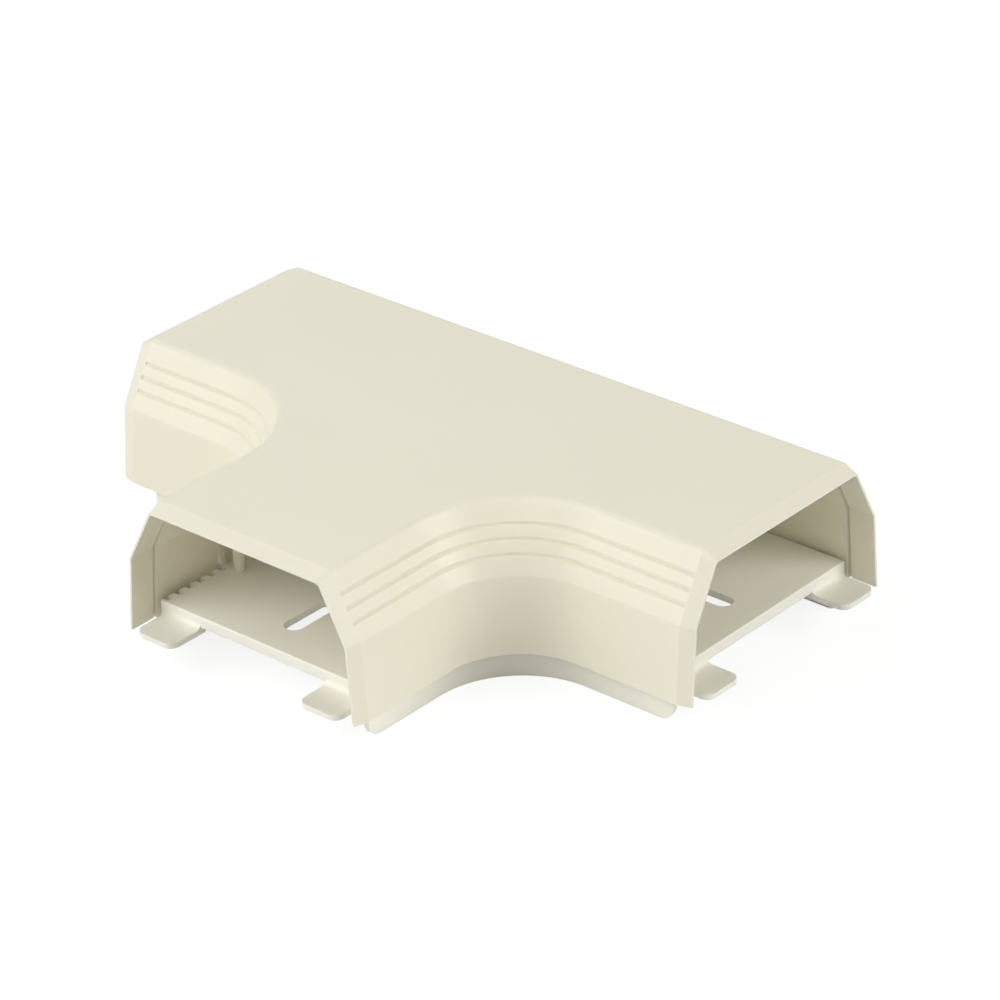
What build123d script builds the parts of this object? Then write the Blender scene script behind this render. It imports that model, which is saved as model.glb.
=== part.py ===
from build123d import *
import os
from collections import namedtuple
from math import hypot

# Tee fitting for surface trunking: a moulded cover clipped over a moulded base.
# X runs along the straight bar, the branch runs towards -Y, and Z stands out from the wall.
# The origin is the point on the wall where the centre lines of the three runs cross.
# Every section is drawn with s, the distance from the centre line of its arm, and the height.

# Reach of the arms, from the crossing of the centre lines to their open ends
bar_half_length = 135.5
branch_reach = 133.5

# Cover, outer section
cover_foot_height = 12.0
shoulder_height = 42.0
cover_height = 66.0
foot_half_width = 55.0
shoulder_half_width = 52.8
top_half_width = 40.3
inner_corner_radius = 45.0
top_edge_radius = 2.6
shoulder_radius = 2.0
inner_shoulder_radius = 0.8

# Cover, open ends: the outside tapers to a thin rim, the inside is relieved for the trunking
bevel_length = 5.5
bevel_side_depth = 1.6
bevel_top_depth = 2.6
rim_wall = 0.8
rim_edge_radius = 2.0
collar_length = 11.6
collar_depth = 0.8
stop_groove_width = 0.9
stop_groove_depth = 1.0

# Cover, grooves along the shoulder, placed by their share of its slope
groove_place_shares = (0.33, 0.53, 0.73)
groove_width = 1.9
groove_depth = 0.6

# Base tray
base_side_gap = 1.9
base_end_recess = 11.6
plate_height = 20.0
plate_thickness = 2.7
flange_thickness = 2.4
flange_end_radius = 5.5
lip_height = 4.3
lip_thickness = 2.4
lip_edge_radius = 0.6

# Tongues that slide under the inner ledges of the trunking
tongue_inner_offset = 30.0
tongue_outer_inset = 1.4
tongue_tip_overhang = 3.2
tongue_under_height = 12.9
tongue_thickness = 2.1
tongue_root_radius = 2.4
tongue_tip_radius = 4.0
detent_radius = 1.1
detent_length = 6.0
detent_setback = 4.5

# Screw slots, one on the centre line of each arm
slot_length = 25.0
slot_width = 7.5
slot_setback = 24.3

# Notched edge of the base beside the inner corners
notch_width = 2.6
notch_depth = 2.5
notch_height = 4.2
notch_pitch = 5.45
first_notch_setback = 14.2

# Snap lugs on the base and the beads inside the cover that click under them
lug_height = 14.2
lug_reach = 1.2
lug_edge = 0.6
lug_rise = 3.0
lug_length = 16.0
lug_setback = 26.0
bead_grip = 0.7
bead_edge = 0.9
bead_foot_gap = 0.2
snap_clearance = 0.1

# Pegs and ribs inside the cover, near the inner corners, that stand on the base
peg_radius = 2.4
peg_foot_radius = 2.2
peg_offset = 42.4
peg_past_corner = 3.2
rib_width = 2.4
rib_reach = 0.8
rib_height = 20.0
rib_foot_reach = 1.4
rib_foot_height = 4.6
rib_before_peg = 0.8

# Cuts run past the faces by this much, and added pieces run this far into their wall
overrun = 2.0
root = 1.0

# Distance of the axis of both inner corners from the centre lines
corner_offset = top_half_width + inner_corner_radius

# The three ends: turn in degrees about Z, with the arm along local +X and its mouth at x = 0
arm_turns_deg = {"right": 0, "left": 180, "branch": -90}
# Sides of each arm that lead to an inner corner
corner_sides = {"right": (-1,), "left": (1,), "branch": (-1, 1)}

Section = namedtuple("Section", "foot shoulder shoulder_z top top_z")


def arm_reach(name):
    """Distance from the crossing of the centre lines to the mouth of an arm."""
    return branch_reach if name == "branch" else bar_half_length


def at_end(name, piece):
    """Carry a piece drawn at a mouth, with the arm along +X, to one of the three ends."""
    return Rot(0, 0, arm_turns_deg[name]) * Pos(arm_reach(name), 0, 0) * piece


def at_each_end(piece):
    """Copies of a piece drawn at a mouth, one for each end."""
    return [at_end(name, piece) for name in arm_turns_deg]


def both_sides(piece):
    """A piece and its mirror image across the centre line of an arm."""
    return [piece, mirror(piece, about=Plane.XZ)]


def inset(section, side_wall, top_wall):
    """The section that lies inside another by a side wall and a top wall."""
    run, rise = section.shoulder - section.top, section.top_z - section.shoulder_z
    slope = hypot(run, rise)
    start = section.top - side_wall * rise / slope
    start_z = section.top_z - side_wall * run / slope
    top_z = section.top_z - top_wall
    top = start + (start_z - top_z) * run / rise
    shoulder = section.shoulder - side_wall
    shoulder_z = start_z - (shoulder - start) * rise / run
    return Section(section.foot - side_wall, shoulder, shoulder_z, top, top_z)


# Sections of the cover: outside, rim at the mouths, collar space, groove at its stop, and space behind it
outer = Section(foot_half_width, shoulder_half_width, shoulder_height, top_half_width, cover_height)
rim = inset(outer, bevel_side_depth, bevel_top_depth)
collar = inset(rim, rim_wall, rim_wall)
stop_groove = inset(rim, rim_wall - stop_groove_depth, rim_wall - stop_groove_depth)
inner = inset(collar, collar_depth, 0)


def inner_wall_at(height):
    """Half width between the inner walls of the cover at a height below the shoulder."""
    draft = (inner.foot - inner.shoulder) / (inner.shoulder_z - cover_foot_height)
    return inner.foot - draft * (height - cover_foot_height)


# Half width of the base, clear of the cover's inner walls
base_half_width = inner_wall_at(plate_height) - base_side_gap


def round_corner(sketch, corner, radius):
    """Round the corner of a sketch that lies nearest to a point."""
    return fillet(sketch.vertices().sort_by_distance(corner)[0], radius=radius)


def arm_section(section, low, edge_radius, bend_radius):
    """Closed section across an arm, drawn with s along local X and the height along local Y."""
    half = [(section.foot, low), (section.shoulder, section.shoulder_z), (section.top, section.top_z)]
    sketch = make_face(Polyline(*half, *[(-s, z) for s, z in reversed(half)], close=True))
    for side in (-1, 1):
        sketch = round_corner(sketch, (side * section.shoulder, section.shoulder_z), bend_radius)
        sketch = round_corner(sketch, (side * section.top, section.top_z), edge_radius)
    return sketch


def groove_points(section):
    """Points of the V grooves down the shoulder, listed from the foot of the shoulder upwards."""
    run, rise = section.shoulder - section.top, section.top_z - section.shoulder_z
    slope = hypot(run, rise)
    half_share = groove_width / slope / 2
    points = []
    for share in sorted(groove_place_shares, reverse=True):
        for place, depth in ((share + half_share, 0), (share, groove_depth), (share - half_share, 0)):
            s = section.top + run * place - depth * rise / slope
            points.append((s, section.top_z - rise * place - depth * run / slope))
    return points


def outside_section(section, low, edge_radius, bend_radius, grooves=()):
    """Region outside the section of an arm, out to the axis of the inner corner."""
    within, above = section.top / 2, section.top_z + overrun
    points = [(section.foot, low), (section.shoulder, section.shoulder_z), *grooves,
              (section.top, section.top_z), (within, section.top_z), (within, above),
              (corner_offset, above), (corner_offset, low)]
    sketch = make_face(Polyline(*points, close=True))
    sketch = round_corner(sketch, (section.shoulder, section.shoulder_z), bend_radius)
    return round_corner(sketch, (section.top, section.top_z), edge_radius)


def tee_solid(outside, bar_end, branch_end, low, high):
    """A tee whose three arms have the same section, joined round two inner corners."""
    block = Box(2 * bar_end, 2 * corner_offset, high - low)
    block += Pos(0, -branch_end / 2, 0) * Box(2 * corner_offset, branch_end, high - low)
    back = extrude(Plane.YZ * outside, amount=bar_end, both=True)
    beside_branch = Pos(0, -corner_offset, 0) * (Plane.XZ * outside)
    along_branch = extrude(beside_branch, amount=branch_end - corner_offset, dir=(0, -1, 0))
    beside_bar = Plane((corner_offset, 0, 0), x_dir=(0, -1, 0), z_dir=(-1, 0, 0)) * outside
    along_bar = extrude(beside_bar, amount=bar_end - corner_offset, dir=(1, 0, 0))
    corner_axis = Axis((corner_offset, -corner_offset, 0), (0, 0, -1))
    corner = revolve(beside_branch, axis=corner_axis, revolution_arc=90)
    sides = [along_branch, corner, along_bar]
    sides += [mirror(side, about=Plane.YZ) for side in sides]
    return Pos(0, 0, (low + high) / 2) * block - [back, *sides]


def tee_outline(half_width, end_inset):
    """Plan of a tee with upright sides, its ends set back from the mouths."""
    bar_end, branch_end = bar_half_length - end_inset, branch_reach - end_inset
    outline = Rectangle(2 * bar_end, 2 * half_width)
    outline += Pos(0, -branch_end / 2) * Rectangle(2 * half_width, branch_end)
    for side in (-1, 1):
        outline = round_corner(outline, (side * half_width, -half_width), corner_offset - half_width)
    return outline


def upright_tee(half_width, end_inset, low, high):
    """A tee prism with upright sides between two heights."""
    return extrude(Pos(0, 0, low) * tee_outline(half_width, end_inset), amount=high - low)


def cover_body():
    """Outer form of the cover, with its grooves and its three bevelled ends."""
    outside = outside_section(outer, cover_foot_height, top_edge_radius, shoulder_radius, groove_points(outer))
    body = tee_solid(outside, bar_half_length - bevel_length, branch_reach - bevel_length,
                     cover_foot_height, cover_height)
    wide = arm_section(outer, cover_foot_height, top_edge_radius, shoulder_radius)
    narrow = arm_section(rim, cover_foot_height, rim_edge_radius, shoulder_radius)
    bevel = loft([Pos(-bevel_length, 0, 0) * (Plane.YZ * wide), Plane.YZ * narrow], ruled=True)
    return body + at_each_end(bevel)


def cover_space():
    """Space inside the cover, open at the foot and at the three mouths."""
    low = cover_foot_height - overrun
    outside = outside_section(inner, low, rim_edge_radius, inner_shoulder_radius)
    space = tee_solid(outside, bar_half_length + overrun, branch_reach + overrun, low, inner.top_z)
    mouth = Plane.YZ * arm_section(collar, low, rim_edge_radius, inner_shoulder_radius)
    relief = extrude(Pos(-collar_length, 0, 0) * mouth, amount=collar_length + overrun)
    stop = Plane.YZ * arm_section(stop_groove, low, rim_edge_radius, inner_shoulder_radius)
    relief += extrude(Pos(-collar_length, 0, 0) * stop, amount=stop_groove_width)
    return space + at_each_end(relief)


def snap_bead():
    """Bead along the inner wall of an arm, gripping under a lug of the base."""
    edge = base_half_width + lug_reach - bead_grip
    wall = inner_wall_at(lug_height) + root
    top = lug_height - snap_clearance
    low = cover_foot_height + bead_foot_gap
    points = [(wall, low), (edge, top - bead_edge), (edge, top), (wall, top)]
    return snap_length(points)


def snap_lug():
    """Lug on the outside of a side flange of the base."""
    inside, outside = base_half_width - root, base_half_width + lug_reach
    points = [(inside, lug_height), (outside, lug_height), (outside, lug_height + lug_edge),
              (base_half_width, lug_height + lug_rise), (inside, lug_height + lug_rise)]
    return snap_length(points)


def snap_length(points):
    """A snap feature of the given section, centred behind the mouth of an arm."""
    profile = make_face(Polyline(*points, close=True))
    return Pos(-lug_setback, 0, 0) * extrude(Plane.YZ * profile, amount=lug_length / 2, both=True)


def all_snaps(snap):
    """A snap feature on both sides of each arm, and one at the middle of the back."""
    middle = Pos(lug_setback, 0, 0) * snap
    return [at_end(name, piece) for name in arm_turns_deg for piece in both_sides(snap)] + [middle]


def corner_pegs():
    """Pegs under the top of the cover and ribs on its wall, both standing on the base."""
    peg = Cone(peg_foot_radius, peg_radius, inner.top_z + root - plate_height,
               align=(Align.CENTER, Align.CENTER, Align.MIN))
    place = branch_reach - corner_offset - peg_past_corner
    peg = Pos(-place, peg_offset, plate_height) * peg
    wall = inner_wall_at(plate_height) + root
    face = inner_wall_at(plate_height) - rib_reach
    points = [(wall, plate_height), (face - rib_foot_reach, plate_height), (face, plate_height + rib_foot_height),
              (face, plate_height + rib_height), (wall, plate_height + rib_height)]
    profile = make_face(Polyline(*points, close=True))
    rib = Pos(rib_before_peg - place, 0, 0) * extrude(Plane.YZ * profile, amount=rib_width / 2, both=True)
    return [at_end("branch", piece) for piece in both_sides(peg) + both_sides(rib)]


def make_cover():
    """The cover: a tee shell with beads and pegs that stay inside its outer form."""
    body = cover_body()
    fittings = [piece & body for piece in all_snaps(snap_bead()) + corner_pegs()]
    return body - cover_space() + fittings


def tray():
    """The plate of the base with its side flanges and its end lips."""
    lip_foot = plate_height - lip_height
    inside = base_half_width - flange_thickness
    body = upright_tee(base_half_width, base_end_recess, 0, plate_height)
    body -= upright_tee(inside, -overrun, -overrun, lip_foot)
    body -= upright_tee(inside, base_end_recess + lip_thickness, lip_foot, plate_height - plate_thickness)
    ends = (bar_half_length - base_end_recess, branch_reach - base_end_recess)
    flange_feet = [e for e in end_edges(body, ends) if abs(e.center().Z) < root]
    body = fillet(flange_feet, radius=flange_end_radius)
    lip_tops = [e for e in end_edges(body, ends) if abs(e.center().Z - plate_height) < root]
    return fillet(lip_tops, radius=lip_edge_radius)


def end_edges(body, ends):
    """Level edges of the base that lie in the planes of its three ends."""
    bar_end, branch_end = ends
    along_y = [e for e in body.edges().filter_by(Axis.Y) if abs(abs(e.center().X) - bar_end) < root]
    along_x = [e for e in body.edges().filter_by(Axis.X) if abs(e.center().Y + branch_end) < root]
    return along_y + along_x


def tongue():
    """A tongue that steps down from the end lip and reaches just past the mouth."""
    lip_face, lip_back = -base_end_recess, -base_end_recess - lip_thickness
    top = tongue_under_height + tongue_thickness
    joint = plate_height - lip_edge_radius
    points = [(lip_back, tongue_under_height), (tongue_tip_overhang, tongue_under_height),
              (tongue_tip_overhang, top), (lip_face, top), (lip_face, joint), (lip_back, joint)]
    profile = round_corner(make_face(Polyline(*points, close=True)), (lip_face, top), tongue_root_radius)
    width = base_half_width - tongue_outer_inset - tongue_inner_offset
    blade = extrude(Plane.XZ * profile, amount=width, dir=(0, 1, 0))
    tips = [e for e in blade.edges().filter_by(Axis.Z) if abs(e.center().X - tongue_tip_overhang) < root]
    blade = fillet(tips, radius=tongue_tip_radius)
    detent = Rot(90, 0, 0) * Cylinder(detent_radius, detent_length)
    detent = Pos(-detent_setback, tongue_tip_radius + detent_length / 2, tongue_under_height) * detent
    return Pos(0, tongue_inner_offset, 0) * (blade + detent)


def screw_slot():
    """Cutter for the long screw slot on the centre line of an arm."""
    slot = SlotOverall(slot_length, slot_width)
    middle = -slot_setback - slot_length / 2
    low = plate_height - plate_thickness - overrun
    return Pos(middle, 0, low) * extrude(slot, amount=plate_thickness + 2 * overrun)


def edge_notches(reach, side):
    """Cutters for the row of notches along the straight edge of an arm, as many as it has room for."""
    size = (notch_width, notch_depth + overrun, notch_height + overrun)
    cutter = Box(*size, align=(Align.CENTER, Align.MIN, Align.MIN))
    count = int((reach - corner_offset - first_notch_setback) / notch_pitch)
    row = [Pos(-first_notch_setback - i * notch_pitch, base_half_width - notch_depth, plate_height - notch_height)
           * cutter for i in range(count)]
    return row if side > 0 else [mirror(piece, about=Plane.XZ) for piece in row]


def make_base():
    """The base: a tray with tongues and lugs, and its slots and notches cut through."""
    tongues = [at_end(name, piece) for name in arm_turns_deg for piece in both_sides(tongue())]
    cuts = at_each_end(screw_slot())
    for name, sides in corner_sides.items():
        cuts += [at_end(name, piece) for side in sides for piece in edge_notches(arm_reach(name), side)]
    return tray() + tongues + all_snaps(snap_lug()) - cuts


os.makedirs("parts", exist_ok=True)
export_step(make_cover(), "parts/cover.step")
export_step(make_base(), "parts/base.step")
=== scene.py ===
"""Looks of the trunking tee fitting: ivory plastic on its two nodes, a floor, lamps and the camera."""
from math import cos, radians, sin

import bpy
from mathutils import Matrix, Vector

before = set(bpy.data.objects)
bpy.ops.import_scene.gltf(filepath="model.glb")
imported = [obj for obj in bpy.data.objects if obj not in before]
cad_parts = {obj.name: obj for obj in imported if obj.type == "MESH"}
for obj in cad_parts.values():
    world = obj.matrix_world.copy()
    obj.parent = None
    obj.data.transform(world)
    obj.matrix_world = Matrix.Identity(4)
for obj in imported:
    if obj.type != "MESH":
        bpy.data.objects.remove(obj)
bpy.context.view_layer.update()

# Camera, fitted to the straight edges of the photograph: angles in radians, lengths in metres
AZIMUTH = 0.71993
ELEVATION = 0.49662
ROLL = 0.02749
AIM_RIGHT, AIM_UP, DISTANCE = 0.003476, 0.010906, 1.5750
FITTED_FLOOR = 0.012
CLIP_START, CLIP_END = 0.05, 20
# Focal length over sensor width, for each metre of distance, and the sensor width in millimetres
LENS_RATIO = 2.729
SENSOR = 36.0

# Plastic: the darkest shade of the clouds as a share of the tint, and the noise values between
# which it changes; each noise has its scale for each metre and its detail
COVER_IVORY = (0.88, 0.843, 0.692)
# Base: the plastic's ivory, painted lighter and more neutral than the cover's as a painted fill light
# for its shade under the cover
BASE_IVORY_AND_PAINTED_FILL_LIGHT = (0.96, 0.935, 0.825)
COVER_SEED, BASE_SEED = 1.7, 5.3
DARKEST_SHADE = (0.985, 0.983, 0.975)
SHADE_START, SHADE_END = 0.3, 0.7
CLOUD_NOISE, CLOUD_ROUGHNESS = (16, 3), 0.55
WEAR_NOISE, GLOSSIEST, DULLEST = (90, 4), 0.34, 0.44
# Relief: the noise, then the bump's strength and its height in metres
GRAIN_NOISE, GRAIN_BUMP = (2600, 2), (0.12, 0.00005)
WAVE_NOISE, WAVE_BUMP = (22, 1), (0.25, 0.0006)
PLASTIC_SOCKETS = {
    "Specular IOR Level": 0.5,
    "Subsurface Weight": 0.3,
    "Subsurface Radius": (1.0, 0.95, 0.9),
    "Subsurface Scale": 0.003,
}

# Floor and surroundings; the eye's floor glows almost white and still takes a faint shadow
FLOOR_REACH = 3.0
FLOOR_DROP = 0.0003
FLOOR_PALE, FLOOR_ROUGHNESS, FLOOR_SPECULAR = 0.80, 0.9, 0.1
FLOOR_GLOW, FLOOR_SHADOW = 0.84, 0.26
SOFT_LIGHT, WHITE_LIGHT = 0.14, 1.0

# Soft square lamps: name, compass angle and height in degrees, side in metres, power in watts.
# Two left of the view and one right of it do the most, with weak ones in front and behind
MIDDLE = Vector((0, -0.02, 0.03))
LAMP_DISTANCE = 2.6
LAMPS = (
    ("left", 236, 25, 1.8, 28),
    ("left_high", 252, 50, 1.8, 17.5),
    ("front", 298, 26, 1.5, 7),
    ("right", 22, 27, 1.3, 35.5),
    ("back", 150, 48, 1.5, 9),
)


def add_camera():
    """Places the camera at the photograph's viewing angle and framing."""
    right = Vector((cos(AZIMUTH), sin(AZIMUTH), 0))
    up = Vector((-sin(AZIMUTH) * sin(ELEVATION), cos(AZIMUTH) * sin(ELEVATION), cos(ELEVATION)))
    ahead = Vector((-sin(AZIMUTH) * cos(ELEVATION), cos(AZIMUTH) * cos(ELEVATION), -sin(ELEVATION)))
    place = AIM_RIGHT * right + AIM_UP * up - DISTANCE * ahead + Vector((0, 0, FITTED_FLOOR))
    x_axis = cos(ROLL) * right - sin(ROLL) * up
    y_axis = sin(ROLL) * right + cos(ROLL) * up
    data = bpy.data.cameras.new("photo_camera")
    data.sensor_fit = "HORIZONTAL"
    data.sensor_width = SENSOR
    data.lens = SENSOR * LENS_RATIO * DISTANCE
    data.clip_start = CLIP_START
    data.clip_end = CLIP_END
    camera = bpy.data.objects.new("photo_camera", data)
    turn = Matrix((x_axis, y_axis, -ahead)).transposed().to_4x4()
    camera.matrix_world = Matrix.Translation(place) @ turn
    bpy.context.scene.collection.objects.link(camera)
    bpy.context.scene.camera = camera


def grey(level):
    """An opaque grey, from 0 for black to 1 for white."""
    return (level, level, level, 1)


def add_noise(nodes, links, coords, noise):
    """Noise of a scale and a detail, fixed to the object."""
    scale, detail = noise
    texture = nodes.new("ShaderNodeTexNoise")
    texture.inputs["Scale"].default_value = scale
    texture.inputs["Detail"].default_value = detail
    links.new(coords.outputs["Object"], texture.inputs["Vector"])
    return texture


def add_relief(nodes, links, coords, noise, relief):
    """A bump of a strength and a height that follows a noise."""
    strength, height = relief
    bump = nodes.new("ShaderNodeBump")
    bump.inputs["Strength"].default_value = strength
    bump.inputs["Distance"].default_value = height
    texture = add_noise(nodes, links, coords, noise)
    links.new(texture.outputs["Fac"], bump.inputs["Height"])
    return bump


def moulded_plastic(name, tint, seed):
    """Satin ivory moulding: faint fine grain, slow shrink waves and a soft sheen."""
    mat = bpy.data.materials.new(name)
    mat.use_nodes = True
    nodes, links = mat.node_tree.nodes, mat.node_tree.links
    shader = nodes["Principled BSDF"]
    coords = nodes.new("ShaderNodeTexCoord")
    # slow change of shade, as in thin moulded walls
    cloud = add_noise(nodes, links, coords, CLOUD_NOISE)
    cloud.noise_dimensions = "4D"
    cloud.inputs["W"].default_value = seed
    cloud.inputs["Roughness"].default_value = CLOUD_ROUGHNESS
    shade = nodes.new("ShaderNodeValToRGB")
    low, high = shade.color_ramp.elements
    low.position, high.position = SHADE_START, SHADE_END
    low.color = (*(part * share for part, share in zip(tint, DARKEST_SHADE)), 1)
    high.color = (*tint, 1)
    links.new(cloud.outputs["Fac"], shade.inputs["Fac"])
    links.new(shade.outputs["Color"], shader.inputs["Base Color"])
    # gloss that varies a little over the surface
    wear = add_noise(nodes, links, coords, WEAR_NOISE)
    gloss = nodes.new("ShaderNodeMapRange")
    gloss.inputs["To Min"].default_value = GLOSSIEST
    gloss.inputs["To Max"].default_value = DULLEST
    links.new(wear.outputs["Fac"], gloss.inputs["Value"])
    links.new(gloss.outputs["Result"], shader.inputs["Roughness"])
    # spark-eroded tool texture, and the slight waviness of a flat moulding
    fine = add_relief(nodes, links, coords, GRAIN_NOISE, GRAIN_BUMP)
    broad = add_relief(nodes, links, coords, WAVE_NOISE, WAVE_BUMP)
    links.new(fine.outputs["Normal"], broad.inputs["Normal"])
    links.new(broad.outputs["Normal"], shader.inputs["Normal"])
    for socket, value in PLASTIC_SOCKETS.items():
        shader.inputs[socket].default_value = value
    return mat


def studio_lamp(name, azimuth, elevation, size, power):
    """A soft square lamp at a compass angle round the part and a height over it, aimed at it."""
    data = bpy.data.lights.new(name, "AREA")
    data.shape = "SQUARE"
    data.size = size
    data.energy = power
    lamp = bpy.data.objects.new(name, data)
    turn, lift = radians(azimuth), radians(elevation)
    away = Vector((cos(turn) * cos(lift), sin(turn) * cos(lift), sin(lift)))
    lamp.location = MIDDLE + LAMP_DISTANCE * away
    lamp.rotation_euler = (-away).to_track_quat("-Z", "Y").to_euler()
    bpy.context.scene.collection.objects.link(lamp)


def seen_by_eye(nodes, links):
    """1 for what is seen, straight, mirrored or through something; 0 for light on the part."""
    path = nodes.new("ShaderNodeLightPath")
    seen = path.outputs["Is Camera Ray"]
    for ray in ("Is Glossy Ray", "Is Transmission Ray"):
        either = nodes.new("ShaderNodeMath")
        either.operation = "MAXIMUM"
        links.new(seen, either.inputs[0])
        links.new(path.outputs[ray], either.inputs[1])
        seen = either.outputs["Value"]
    return seen


def split_by_ray(nodes, links, for_light, for_eye, output):
    """Gives one shader to the light on the part and the other to the eye."""
    mix = nodes.new("ShaderNodeMixShader")
    links.new(seen_by_eye(nodes, links), mix.inputs["Fac"])
    links.new(for_light, mix.inputs[1])
    links.new(for_eye, mix.inputs[2])
    links.new(mix.outputs["Shader"], nodes[output].inputs["Surface"])


def add_floor():
    """A wide pale floor just under the part, which keeps a faint shadow of it."""
    corners = [(FLOOR_REACH * x, FLOOR_REACH * y, 0) for x, y in ((-1, -1), (1, -1), (1, 1), (-1, 1))]
    mesh = bpy.data.meshes.new("floor")
    mesh.from_pydata(corners, [], [(0, 1, 2, 3)])
    floor = bpy.data.objects.new("floor", mesh)
    floor.location.z = -FLOOR_DROP
    bpy.context.scene.collection.objects.link(floor)
    mat = bpy.data.materials.new("floor_paper")
    mat.use_nodes = True
    nodes, links = mat.node_tree.nodes, mat.node_tree.links
    shader = nodes["Principled BSDF"]
    shader.inputs["Base Color"].default_value = grey(FLOOR_PALE)
    shader.inputs["Roughness"].default_value = FLOOR_ROUGHNESS
    shader.inputs["Specular IOR Level"].default_value = FLOOR_SPECULAR
    glow = nodes.new("ShaderNodeEmission")
    glow.inputs["Color"].default_value = grey(1)
    glow.inputs["Strength"].default_value = FLOOR_GLOW
    paper = nodes.new("ShaderNodeBsdfDiffuse")
    paper.inputs["Color"].default_value = grey(FLOOR_SHADOW)
    lit = nodes.new("ShaderNodeAddShader")
    links.new(glow.outputs["Emission"], lit.inputs[0])
    links.new(paper.outputs["BSDF"], lit.inputs[1])
    split_by_ray(nodes, links, shader.outputs["BSDF"], lit.outputs["Shader"], "Material Output")
    mesh.materials.append(mat)


def add_world():
    """White surroundings for the eye, weak even light for the part."""
    world = bpy.data.worlds.new("studio")
    world.use_nodes = True
    nodes, links = world.node_tree.nodes, world.node_tree.links
    soft = nodes["Background"]
    white = nodes.new("ShaderNodeBackground")
    for background, strength in ((soft, SOFT_LIGHT), (white, WHITE_LIGHT)):
        background.inputs["Color"].default_value = grey(1)
        background.inputs["Strength"].default_value = strength
    split_by_ray(nodes, links, soft.outputs["Background"], white.outputs["Background"], "World Output")
    bpy.context.scene.world = world


add_camera()
add_world()
add_floor()
for lamp in LAMPS:
    studio_lamp(*lamp)

for node, tint, seed in (("cover", COVER_IVORY, COVER_SEED), ("base", BASE_IVORY_AND_PAINTED_FILL_LIGHT, BASE_SEED)):
    material = moulded_plastic("ivory_" + node, tint, seed)
    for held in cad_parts[node].material_slots:
        held.material = material

bpy.context.scene.view_settings.view_transform = "Standard"
